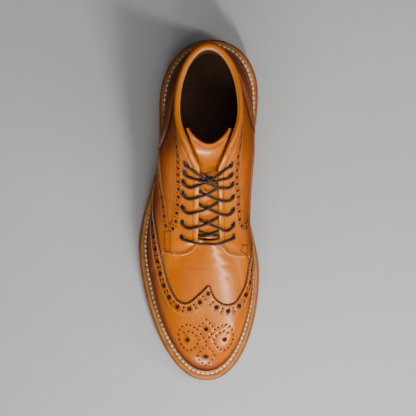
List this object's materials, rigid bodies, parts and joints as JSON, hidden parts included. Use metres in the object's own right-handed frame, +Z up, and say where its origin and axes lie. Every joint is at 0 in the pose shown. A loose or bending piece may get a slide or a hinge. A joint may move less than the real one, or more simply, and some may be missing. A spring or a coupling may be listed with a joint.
{
  "type": "brogue boot",
  "caption": "Tan leather full brogue ankle boot for the right foot: wing toe cap, open lacing with seven pairs of eyelets, stitched welt, double sole and stacked heel.",
  "frame": {"origin": "on the ground under the middle of the sole's length and width", "axes": "+Z up, +Y toward the heel, -Y toward the toe, +X toward the inner side of the right foot"},
  "size_m": [0.11, 0.308, 0.1513],
  "materials": {
    "tan_leather": "gloss",
    "binding": "satin",
    "welt": "satin",
    "sole_edge": "satin",
    "rubber": "matte",
    "insole": "matte",
    "lace": "matte",
    "eyelet": "satin"
  },
  "bodies": {
    "root": {"outsole": "rubber", "midsole": "sole_edge", "welt": "welt", "insole": "insole", "heel_top_piece": "rubber", "heel_lift_1": "sole_edge", "heel_lift_2": "sole_edge", "heel_lift_3": "sole_edge", "upper": "tan_leather", "wing_cap": "tan_leather", "heel_counter": "tan_leather", "quarter_lateral": "tan_leather", "quarter_medial": "tan_leather", "back_strap": "tan_leather", "tongue": "tan_leather", "collar_binding": "binding", "eyelet_lateral_1": "eyelet", "eyelet_lateral_2": "eyelet", "eyelet_lateral_3": "eyelet", "eyelet_lateral_4": "eyelet", "eyelet_lateral_5": "eyelet", "eyelet_lateral_6": "eyelet", "eyelet_lateral_7": "eyelet", "eyelet_medial_1": "eyelet", "eyelet_medial_2": "eyelet", "eyelet_medial_3": "eyelet", "eyelet_medial_4": "eyelet", "eyelet_medial_5": "eyelet", "eyelet_medial_6": "eyelet", "eyelet_medial_7": "eyelet", "lace_bar": "lace", "lace_crossing_1": "lace", "lace_crossing_2": "lace", "lace_crossing_3": "lace", "lace_crossing_4": "lace", "lace_crossing_5": "lace", "lace_knot": "lace"}
  },
  "joints": []
}
